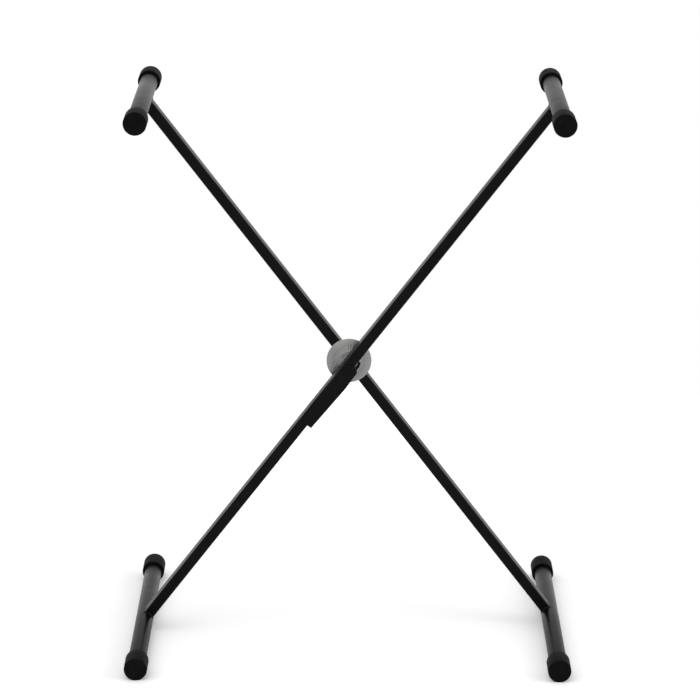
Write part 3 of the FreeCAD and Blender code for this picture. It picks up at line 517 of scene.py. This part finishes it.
@dataclass
class Maker:
    """Turns a bmesh into a named piece that rides on a body and stands for CAD nodes."""

    finishes: dict[Slot, bpy.types.Material]

    def piece(self, name: str, bm: bmesh.types.BMesh, body: Body, slot: Slot, replaces: Sequence[str] = (),
              place: Matrix | None = None, sharp_deg: float = 34.0) -> bpy.types.Object:
        """Make the piece.

        Args:
            name: name of the piece.
            bm: its mesh, which is freed.
            body: body that it rides on.
            slot: its finish.
            replaces: CAD nodes that it stands for.
            place: where its mesh goes, from the frame in which it is drawn.
            sharp_deg: edges that turn by more stay sharp, in degrees.

        Returns:
            The object.
        """
        if place is not None:
            bmesh.ops.transform(bm, matrix=place, verts=bm.verts)
        for face in bm.faces:
            face.smooth = True
        for edge in bm.edges:
            edge.smooth = edge.calc_face_angle(0.0) < math.radians(sharp_deg)
        mesh = bpy.data.meshes.new(name)
        bm.to_mesh(mesh)
        bm.free()
        mesh.materials.append(self.finishes[slot])
        piece = bpy.data.objects.new(name, mesh)
        bpy.context.scene.collection.objects.link(piece)
        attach(piece, body.value)
        if replaces:
            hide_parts(*replaces)
        LOG.info("%s: %d faces, rides on %s", name, len(mesh.polygons), body.value)
        return piece

    def dress(self, node: str, slot: Slot) -> None:
        """Give a finish to a CAD node that stays.

        Args:
            node: name of the node.
            slot: its finish.
        """
        materials = frame["nodes"][node].data.materials
        materials.clear()
        materials.append(self.finishes[slot])
        LOG.info("%s: carried over with %s", node, slot.value)

    def rounded_copy(self, node: str, name: str, body: Body, slot: Slot, width: float,
                     segments: int = 2) -> bpy.types.Object:
        """Stand in for a CAD node with a copy that has rounded edges.

        Args:
            node: name of the node.
            name: name of the piece.
            body: body that it rides on.
            slot: its finish.
            width: size of the rounding.
            segments: facets of the rounding.

        Returns:
            The object.
        """
        bm = bmesh.new()
        bm.from_mesh(frame["nodes"][node].data)
        bmesh.ops.remove_doubles(bm, verts=bm.verts, dist=1e-6)
        bmesh.ops.dissolve_limit(bm, angle_limit=math.radians(0.5), verts=bm.verts, edges=bm.edges)
        piece = self.piece(name, bm, body, slot, [node], sharp_deg=25)
        bevel = piece.modifiers.new("soft_edges", "BEVEL")
        bevel.width, bevel.segments = width, segments
        bevel.limit_method, bevel.angle_limit = "ANGLE", math.radians(28.0)
        bevel.use_clamp_overlap, bevel.harden_normals = True, True
        return piece


# ---------------------------------------------------------------- sizes read from the frame


def joint_place(name: str) -> Vector:
    """Place of a joint.

    Args:
        name: name of the joint.

    Returns:
        A point on its axis.
    """
    return Vector(next(joint["pos_m"] for joint in frame["joints"] if joint["name"] == name))


def middle(node: str) -> Vector:
    """Centre of the box of a CAD node.

    Args:
        node: name of the node.

    Returns:
        The centre.
    """
    low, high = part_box(node)
    return (low + high) / 2


PIVOT = joint_place("fold")
FOOT_OFFSET = middle("left_foot_tube") - PIVOT
HALF_ANGLE = math.atan2(-FOOT_OFFSET.x, -FOOT_OFFSET.z)


# ---------------------------------------------------------------- round tubes, caps and welds


@dataclass
class RoundTube:
    """Foot or arm tube across the end of a leg, with its two rubber caps."""

    maker: Maker
    name: str
    lean: Lean
    end: End
    wall: float = 1.2 * MM
    edge: float = 0.35 * MM
    steps: int = 96
    cap_edge: float = 1.8 * MM
    cap_lip: float = 0.8 * MM
    cap_crown: float = 0.45 * MM
    cap_length: float = 40.0 * MM
    bore_gap: float = 0.05 * MM

    @property
    def radius(self) -> float:
        """Outer radius of the tube."""
        low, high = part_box(f"{self.name}_tube")
        return (high.z - low.z) / 2

    @property
    def half_length(self) -> float:
        """Half the length of the tube."""
        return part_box(f"{self.name}_tube")[1].y

    @property
    def place(self) -> Matrix:
        """Place of the tube's axis."""
        return Matrix.Translation(middle(f"{self.name}_tube"))

    def build_tube(self) -> None:
        """Make the tube, open at both ends."""
        outer, inner, reach = self.radius, self.radius - self.wall, self.half_length
        bm = shape([(inner, -reach), (outer, -reach), (outer, reach), (inner, reach), (inner, -reach)],
                   {1: self.edge, 2: self.edge}, 3)
        spin(bm, self.steps)
        self.maker.piece(f"{self.name}_pipe", bm, self.lean.body, Slot.COAT, [f"{self.name}_tube"],
                         self.place)

    def build_caps(self) -> None:
        """Make both caps: crowned end, rounded edge, rounded lip, and a flat sole on a foot cap."""
        low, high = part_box(f"{self.name}_caps")
        outer, bore = (high.x - low.x) / 2, self.radius + self.bore_gap
        closed, tube_end = low.y, -self.half_length
        lip = closed + self.cap_length
        bm = shape([(0.0, closed), (0.62 * outer, closed + 0.1 * self.cap_crown),
                    (outer, closed + self.cap_crown), (outer, closed + 0.5 * self.cap_length), (outer, lip),
                    (bore, lip), (bore, tube_end), (0.0, tube_end)],
                   {2: self.cap_edge, 4: self.cap_lip, 5: 0.5 * self.cap_lip})
        spin(bm, self.steps)
        if self.end is End.FOOT:
            floor = Vector((0.0, 0.0, -middle(f"{self.name}_tube").z))
            bmesh.ops.bisect_plane(bm, geom=[*bm.verts, *bm.edges, *bm.faces], plane_co=floor,
                                   plane_no=(0.0, 0.0, -1.0), clear_outer=True)
            rim = [edge for edge in bm.edges if edge.is_boundary]
            bmesh.ops.edgeloop_fill(bm, edges=rim)
        bmesh.ops.mirror(bm, geom=[*bm.verts, *bm.edges, *bm.faces], matrix=Matrix.Identity(4), axis="Y",
                         merge_dist=-1.0)
        close(bm)
        self.maker.piece(f"{self.name}_rubber", bm, self.lean.body, Slot.RUBBER, [f"{self.name}_caps"],
                         self.place)

    def build(self) -> None:
        """Make the tube and its caps."""
        self.build_tube()
        self.build_caps()


@dataclass
class WeldBead:
    """Rippled fillet bead around the end of a leg, where it sits on its round tube."""

    maker: Maker
    node: str
    lean: Lean
    end: End
    tube: RoundTube
    leg_width: float = 15.0 * MM
    leg_depth: float = 25.0 * MM
    leg_corner: float = 2.5 * MM
    throat: float = 1.9 * MM
    ripple: float = 1.5 * MM
    ripple_share: float = 0.09
    steps: int = 260
    ring_radius: float = 3.0

    def outline(self, share: float) -> tuple[Vector, Vector]:
        """Point on the outside of the leg's section and the way out from it.

        Args:
            share: how far around, 0 to 1.

        Returns:
            The point from the section's middle, and the outward direction.
        """
        corner = self.leg_corner
        flat_x, flat_y, bend = self.leg_width - 2 * corner, self.leg_depth - 2 * corner, math.pi / 2 * corner
        travel = share * 2 * (flat_x + flat_y + 2 * bend)
        ways = [Vector(way) for way in ((0.0, 1.0), (-1.0, 0.0), (0.0, -1.0), (1.0, 0.0))]
        start = Vector((self.leg_width / 2, -flat_y / 2))
        for turn, way in enumerate(ways):
            flat, out = (flat_x if turn % 2 else flat_y), Vector((way.y, -way.x))
            if travel <= flat:
                return start + way * travel, out
            travel, start = travel - flat, start + way * flat
            if travel <= bend:
                angle = travel / corner
                outwards = out * math.cos(angle) + way * math.sin(angle)
                return start - out * corner + outwards * corner, outwards
            travel, start = travel - bend, start + (way - out) * corner
        return start, Vector((1.0, 0.0))

    def on_tube(self, x: float) -> float:
        """Height of the tube's surface along the leg, at a distance across it.

        Args:
            x: distance across the leg.

        Returns:
            The height.
        """
        reach = (middle(f"{self.tube.name}_tube") - PIVOT).length
        return self.end.value * (reach - math.sqrt(self.tube.radius ** 2 - x * x))

    def build(self) -> None:
        """Make the bead: a ring with a section of unit size, laid along the seam at its real size."""
        bm = bmesh.new()
        section = ((0.0, 1.0), (0.34, 0.62), (0.62, 0.34), (1.0, 0.0), (-0.15, -0.15))
        ring = [bm.verts.new((self.ring_radius + out, 0.0, up)) for out, up in section]
        for first, second in zip(ring, ring[1:] + ring[:1]):
            bm.edges.new((first, second))
        spin(bm, self.steps, (0.0, 0.0, 1.0))
        depth = middle(self.node).y
        length = 2 * (self.leg_width + self.leg_depth) - (8 - 2 * math.pi) * self.leg_corner
        for vert in bm.verts:
            share = math.atan2(vert.co.y, vert.co.x) / (2 * math.pi) % 1.0
            out, up = math.hypot(vert.co.x, vert.co.y) - self.ring_radius, vert.co.z
            phase = 2 * math.pi * share * round(length / self.ripple)
            lag = 1.4 * (1.0 - abs(out - up))
            wander = 0.5 * math.sin(phase + lag) + 0.25 * math.sin(7 * share * 2 * math.pi)
            size = self.throat * (1.0 + self.ripple_share * wander)
            point, outwards = self.outline(share)
            point += outwards * (out * size)
            vert.co = (point.x, point.y + depth, self.on_tube(point.x) - self.end.value * up * size)
        close(bm)
        self.maker.piece(f"{self.node}_bead", bm, self.lean.body, Slot.COAT, [self.node],
                         leg_matrix(self.lean), sharp_deg=60)


# ---------------------------------------------------------------- pivot


@dataclass
class LockingDisc:
    """Pressed and face-turned disc on the back leg: a low cone with radial flutes around the hub."""

    maker: Maker
    bore_radius: float = 4.05 * MM
    edge_thickness: float = 1.3 * MM
    edge: float = 0.45 * MM
    back_edge: float = 0.3 * MM
    flute_inner: float = 14.2 * MM
    flute_outer: float = 22.5 * MM
    flute_depth: float = 0.26 * MM
    flutes: int = 36
    steps_per_flute: int = 6

    def build(self) -> None:
        """Make the disc and press the flutes into its face."""
        low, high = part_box("locking_disc")
        rim, front, back = (high.x - low.x) / 2, low.y, high.y
        cone_start = self.flute_inner - self.edge
        fall = (back - self.edge_thickness - front) / (rim - cone_start)

        def on_cone(radius: float) -> tuple[float, float]:
            """Corner of the section on the cone.

            Args:
                radius: distance from the axis.

            Returns:
                Radius and depth of the corner.
            """
            return radius, front + (radius - cone_start) * fall

        bm = shape([(self.bore_radius, front), on_cone(cone_start), on_cone(self.flute_inner),
                    on_cone(self.flute_outer), on_cone(self.flute_outer + self.edge), on_cone(rim),
                    (rim, back), (self.bore_radius, back), (self.bore_radius, front)],
                   {5: self.edge, 6: self.back_edge})
        spin(bm, self.steps_per_flute * self.flutes)
        for vert in bm.verts:
            radius = math.hypot(vert.co.x, vert.co.z)
            if self.flute_inner - 0.001 * MM < radius < self.flute_outer + 0.001 * MM:
                turn = math.atan2(vert.co.z, vert.co.x) * self.flutes
                vert.co.y += self.flute_depth * (0.5 + 0.5 * math.cos(turn))
        self.maker.piece("disc_face", bm, Body.BACK, Slot.TURNED, ["locking_disc"],
                         Matrix.Translation(PIVOT), sharp_deg=20)


@dataclass
class PivotBolt:
    """Countersunk bolt with a hexagon socket and a threaded tail."""

    maker: Maker
    shank: float = 4.0 * MM
    head: float = 5.5 * MM
    socket_flats: float = 5.0 * MM
    socket_depth: float = 2.4 * MM
    thread_pitch: float = 1.25 * MM
    thread_depth: float = 0.55 * MM
    threaded: float = 10.0 * MM
    crest_gap: float = 0.02 * MM
    root_sink: float = 0.1 * MM
    root_share: float = 0.92
    crest_share: float = 0.12
    steps: int = 64
    thread_steps: int = 28

    @property
    def place(self) -> Matrix:
        """Place of the bolt's axis."""
        return Matrix.Translation((PIVOT.x, 0.0, PIVOT.z))

    def build_body(self) -> None:
        """Make head, socket and shank, down to where the thread starts."""
        low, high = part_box("pivot_bolt")
        front, start = low.y, high.y - self.threaded
        core = self.shank - self.thread_depth
        bm = shape([(0.0, front), (self.head, front), (self.shank, front + self.head - self.shank),
                    (self.shank, start), (core, start + self.thread_depth), (core, high.y), (0.0, high.y)],
                   {1: 0.15 * MM, 5: 0.4 * MM}, 3)
        spin(bm, self.steps)
        cap = [face for face in bm.faces if all(abs(vert.co.y - front) < TOUCHING for vert in face.verts)]
        bmesh.ops.dissolve_faces(bm, faces=cap)
        face = min(bm.faces, key=lambda item: item.calc_center_median().y)
        rim = self.head - self.socket_flats / math.sqrt(3)
        bmesh.ops.inset_individual(bm, faces=[face], thickness=rim)
        well = min((item for item in bm.faces if abs(item.calc_center_median().y - front) < TOUCHING),
                   key=lambda item: max(vert.co.x ** 2 + vert.co.z ** 2 for vert in item.verts))
        apothem = self.socket_flats / 2
        for vert in well.verts:
            angle = math.atan2(vert.co.z, vert.co.x) % (math.pi / 3) - math.pi / 6
            reach = apothem / math.cos(angle) / math.hypot(vert.co.x, vert.co.z)
            vert.co.x, vert.co.z = vert.co.x * reach, vert.co.z * reach
        moved = bmesh.ops.extrude_discrete_faces(bm, faces=[well])["faces"][0]
        bmesh.ops.translate(bm, vec=(0.0, self.socket_depth, 0.0), verts=moved.verts)
        close(bm)
        self.maker.piece("bolt_blank", bm, Body.FRONT, Slot.DARK_STEEL, ["pivot_bolt"], self.place)

    def build_thread(self) -> None:
        """Make the thread of the tail as one helical ridge."""
        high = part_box("pivot_bolt")[1]
        core, crest = self.shank - self.thread_depth - self.root_sink, self.shank - self.crest_gap
        half = self.thread_pitch / 2
        root_half, crest_half = self.root_share * half, self.crest_share * half
        turns = int(self.threaded / self.thread_pitch) - 1
        bm = bmesh.new()
        start = high.y - self.threaded + self.thread_pitch
        ridge = [bm.verts.new((radius, start + shift, 0.0)) for radius, shift in
                 ((core, -root_half), (crest, -crest_half), (crest, crest_half), (core, root_half))]
        outline = [bm.edges.new((first, second)) for first, second in zip(ridge, ridge[1:] + ridge[:1])]
        bmesh.ops.contextual_create(bm, geom=outline)
        bmesh.ops.spin(bm, geom=[*bm.verts, *bm.edges, *bm.faces], cent=(0.0, 0.0, 0.0),
                       axis=(0.0, 1.0, 0.0), dvec=(0.0, self.thread_pitch / self.thread_steps, 0.0),
                       angle=2 * math.pi * turns, steps=self.thread_steps * turns)
        close(bm)
        self.maker.piece("bolt_thread", bm, Body.FRONT, Slot.DARK_STEEL, [], self.place, sharp_deg=40)

    def build(self) -> None:
        """Make the bolt."""
        self.build_body()
        self.build_thread()


@dataclass
class HeadDome:
    """Low dome on the round head of the grip."""

    maker: Maker
    reach: float = 4.5 * MM
    drop: float = 7.0 * MM
    radius: float = 9.2 * MM
    crown: float = 1.6 * MM
    sink: float = 0.3 * MM
    rings: int = 10
    steps: int = 72

    def build(self) -> None:
        """Make the dome and set its rim a little into the flange."""
        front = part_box("trigger_grip")[0].y
        rise = [(self.radius * ring / self.rings, -self.crown * (1 - (ring / self.rings) ** 2))
                for ring in range(self.rings + 1)]
        bm = shape([*rise, (self.radius, self.sink), (0.0, self.sink)])
        spin(bm, self.steps)
        self.maker.piece("grip_head_dome", bm, Body.TRIGGER, Slot.GRIP, [],
                         leg_matrix(Lean.RIGHT) @ Matrix.Translation((self.reach, front, -self.drop)))


@dataclass
class ReturnSpring:
    """Leaf spring between the grip and the leg: flat foot, bent arm and curled tip."""

    maker: Maker
    width: float = 8.0 * MM
    thickness: float = 0.5 * MM
    foot_low: float = -74.0 * MM
    foot_length: float = 8.0 * MM
    bend: float = math.radians(38.0)
    curl: float = 2.5 * MM
    rub_x: float = 7.8 * MM
    pressed: float = 0.66
    foot_x: float = 12.587 * MM

    def build(self) -> None:
        """Make the strip by spinning its end around each bend in turn."""
        depth = middle("lever_spring").y
        radius = (self.foot_x - self.rub_x) / (1 - math.cos(self.bend)) - self.curl
        bm = bmesh.new()
        half = self.thickness / 2
        section = [bm.verts.new((self.foot_x + side * half, depth + across * self.width / 2, self.foot_low))
                   for side, across in ((-1, -1), (1, -1), (1, 1), (-1, 1))]
        bm.faces.new(section)
        top = self.foot_low + self.foot_length
        moved = extrude(bm, list(bm.faces), (0.0, 0.0, self.foot_length))
        curl_z = top + (radius + self.curl) * math.sin(self.bend)
        for centre, angle, steps in (((self.foot_x - radius, 0.0, top), -self.bend, 14),
                                     ((self.rub_x + self.curl, 0.0, curl_z), self.bend + math.pi / 2, 16)):
            tip = [face for face in bm.faces if all(vert in moved for vert in face.verts)]
            made = bmesh.ops.spin(bm, geom=tip, cent=centre, axis=(0.0, 1.0, 0.0), angle=angle, steps=steps)
            moved = [item for item in made["geom_last"] if isinstance(item, bmesh.types.BMVert)]
        inner = [face for face in bm.faces if len(face.edges) == 4 and all(
            len(edge.link_faces) > 2 for edge in face.edges)]
        bmesh.ops.delete(bm, geom=inner, context="FACES_ONLY")
        close(bm)
        place = leg_matrix(Lean.RIGHT)
        strip = self.maker.piece("leaf_spring", bm, Body.TRIGGER, Slot.SPRING, ["lever_spring"], place)
        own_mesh(strip)


# ---------------------------------------------------------------- studio and camera


@dataclass
class Studio:
    """Pale seamless floor in a white surround, soft light from the upper left and a weaker fill."""

    floor_radius: float = 1.4
    floor_colour: Colour = (0.9, 0.9, 0.9)
    floor_lift: tuple[float, float] = (0.12, 0.4)
    lift_reach: tuple[float, float] = (0.5, 1.2)
    ambient: float = 0.8
    lamps: Sequence[Lamp] = (("key_light", (-1.2, -1.3, 3.3), 4.2, 46.0),
                             ("fill_light", (2.8, -0.8, 1.8), 1.6, 22.0))

    def build_floor(self) -> None:
        """Make the floor. Camera, gloss and glass see it lifted towards white, and it keeps the shadows."""
        graph = Graph("studio_floor")
        path = graph.add("ShaderNodeLightPath")
        seen = graph.maths("MAXIMUM", path.outputs["Is Camera Ray"], path.outputs["Is Transmission Ray"])
        seen = graph.maths("MAXIMUM", seen, path.outputs["Is Glossy Ray"])
        outwards = graph.vector("LENGTH", graph.coords, result="Value")
        lift = graph.spread(outwards, *self.floor_lift, *self.lift_reach)
        graph.set(Base_Color=(*self.floor_colour, 1.0), Roughness=1.0, Specular_IOR_Level=0.0,
                  Emission_Color=(1.0, 1.0, 1.0, 1.0),
                  Emission_Strength=graph.maths("MULTIPLY", seen, lift))
        bm = bmesh.new()
        bmesh.ops.create_circle(bm, cap_ends=True, radius=self.floor_radius, segments=96)
        mesh = bpy.data.meshes.new("studio_floor")
        bm.to_mesh(mesh)
        bm.free()
        mesh.materials.append(graph.material)
        sheet = bpy.data.objects.new("studio_floor", mesh)
        bpy.context.scene.collection.objects.link(sheet)

    def build_world(self) -> None:
        """Set the surroundings: white to camera, gloss and glass, and plain light for the rest."""
        world = bpy.data.worlds.new("studio")
        bpy.context.scene.world = world
        world.use_nodes = True
        nodes, links = world.node_tree.nodes, world.node_tree.links
        nodes.clear()
        output, ground = nodes.new("ShaderNodeOutputWorld"), nodes.new("ShaderNodeBackground")
        links.new(ground.outputs[0], output.inputs[0])
        ground.inputs["Color"].default_value = (1.0, 1.0, 1.0, 1.0)
        path, level = nodes.new("ShaderNodeLightPath"), nodes.new("ShaderNodeMix")
        either, seen = nodes.new("ShaderNodeMath"), nodes.new("ShaderNodeMath")
        either.operation = seen.operation = "MAXIMUM"
        links.new(path.outputs["Is Camera Ray"], either.inputs[0])
        links.new(path.outputs["Is Transmission Ray"], either.inputs[1])
        links.new(either.outputs[0], seen.inputs[0])
        links.new(path.outputs["Is Glossy Ray"], seen.inputs[1])
        links.new(seen.outputs[0], level.inputs[0])
        level.inputs[2].default_value, level.inputs[3].default_value = self.ambient, 1.0
        links.new(level.outputs[0], ground.inputs["Strength"])

    def add_softbox(self, name: str, place: Sequence[float], size: float, power: float) -> None:
        """Add a square soft light that faces the pivot.

        Args:
            name: name of the light.
            place: where it hangs.
            size: length of a side.
            power: watts.
        """
        light = bpy.data.lights.new(name, "AREA")
        light.shape, light.size, light.energy = "SQUARE", size, power
        lamp = bpy.data.objects.new(name, light)
        lamp.location = place
        lamp.rotation_mode = "QUATERNION"
        lamp.rotation_quaternion = (PIVOT - Vector(place)).to_track_quat("-Z", "Y")
        lamp.visible_camera = False
        bpy.context.scene.collection.objects.link(lamp)

    def build(self) -> None:
        """Make floor, surroundings and lights."""
        self.build_floor()
        self.build_world()
        for name, place, size, power in self.lamps:
            self.add_softbox(name, place, size, power)


@dataclass
class ViewCamera:
    """Camera at the viewing angle of the product picture."""

    back: float = 4.492
    above_pivot: float = 1.220
    pitch_deg: float = 15.0
    yaw_deg: float = -0.018
    roll_deg: float = 0.27
    sensor_mm: float = 36.0
    focal_in_pixels: float = 3216.0
    picture_width: float = 700.0
    sight: float = 200.0

    def build(self) -> None:
        """Make the camera and use it for the scene."""
        data = bpy.data.cameras.new("view_camera")
        data.sensor_width = self.sensor_mm
        data.lens = self.focal_in_pixels / self.picture_width * self.sensor_mm
        data.clip_end = self.sight
        camera = bpy.data.objects.new("view_camera", data)
        camera.matrix_world = (Matrix.Translation((0.0, -self.back, PIVOT.z + self.above_pivot))
                               @ Matrix.Rotation(math.radians(self.yaw_deg), 4, "Z")
                               @ Matrix.Rotation(math.radians(90.0 - self.pitch_deg), 4, "X")
                               @ Matrix.Rotation(math.radians(self.roll_deg), 4, "Z"))
        bpy.context.scene.collection.objects.link(camera)
        bpy.context.scene.camera = camera


# ---------------------------------------------------------------- assembly


def make_finishes() -> dict[Slot, bpy.types.Material]:
    """Build one material for each slot.

    Returns:
        Materials by slot.
    """
    makers: dict[Slot, Callable[[], bpy.types.Material]] = {
        Slot.COAT: PowderCoat().build,
        Slot.RUBBER: MouldedRubber().build,
        Slot.TURNED: TurnedMetal(tuple(PIVOT)).build,
        Slot.DARK_STEEL: PlatedSteel("black_oxide", (0.007, 0.007, 0.0072), (0.013, 0.013, 0.0133),
                                     (0.38, 0.5)).build,
        Slot.GRIP: MouldedPlastic("grip_nylon", (0.0012, 0.0012, 0.0013), (0.0026, 0.0026, 0.0028),
                                  (0.42, 0.5)).build,
        Slot.RING: MouldedPlastic("natural_nylon", (0.62, 0.62, 0.57), (0.74, 0.74, 0.69),
                                  (0.36, 0.46)).build,
        Slot.SPRING: PlatedSteel("rolled_strip", (0.42, 0.42, 0.43), (0.55, 0.55, 0.56), (0.22, 0.32),
                                 stretch=(1.0, 1.0, 0.15)).build,
        Slot.ZINC: PlatedSteel("zinc_plate", (0.5, 0.5, 0.49), (0.68, 0.68, 0.66), (0.26, 0.4)).build,
    }
    return {slot: make() for slot, make in makers.items()}


def main() -> None:
    """Build the pieces in order, then the studio and the camera."""
    logging.basicConfig(level=logging.INFO, format="%(message)s")
    maker = Maker(make_finishes())
    layout = (("left_foot", Lean.RIGHT, End.FOOT, "front_foot_weld"),
              ("right_arm", Lean.RIGHT, End.ARM, "front_arm_weld"),
              ("right_foot", Lean.LEFT, End.FOOT, "back_foot_weld"),
              ("left_arm", Lean.LEFT, End.ARM, "back_arm_weld"))
    for name, lean, end, weld in layout:
        tube = RoundTube(maker, name, lean, end)
        tube.build()
        WeldBead(maker, weld, lean, end, tube).build()
    LockingDisc(maker).build()
    PivotBolt(maker).build()
    HeadDome(maker).build()
    ReturnSpring(maker).build()
    maker.rounded_copy("trigger_grip", "trigger_shell", Body.TRIGGER, Slot.GRIP, 0.35 * MM, 3)
    maker.rounded_copy("pawl_plate", "pawl_stamping", Body.TRIGGER, Slot.DARK_STEEL, 0.12 * MM)
    maker.rounded_copy("pivot_nut", "lock_nut", Body.FRONT, Slot.ZINC, 0.12 * MM)
    maker.rounded_copy("pivot_washer", "plain_washer", Body.FRONT, Slot.ZINC, 0.15 * MM)
    for node, slot in (("front_leg_tube", Slot.COAT), ("back_leg_tube", Slot.COAT),
                       ("front_pivot_sleeve", Slot.COAT), ("back_pivot_sleeve", Slot.COAT),
                       ("ratchet_hub", Slot.TURNED), ("thrust_washer", Slot.ZINC), ("hub_rivets", Slot.ZINC),
                       ("nut_nylon_ring", Slot.RING), ("lever_pin", Slot.DARK_STEEL),
                       ("grip_screws", Slot.DARK_STEEL)):
        maker.dress(node, slot)
    Studio().build()
    ViewCamera().build()
    bpy.context.scene.view_settings.view_transform = "Standard"


if __name__ == "__main__":
    main()
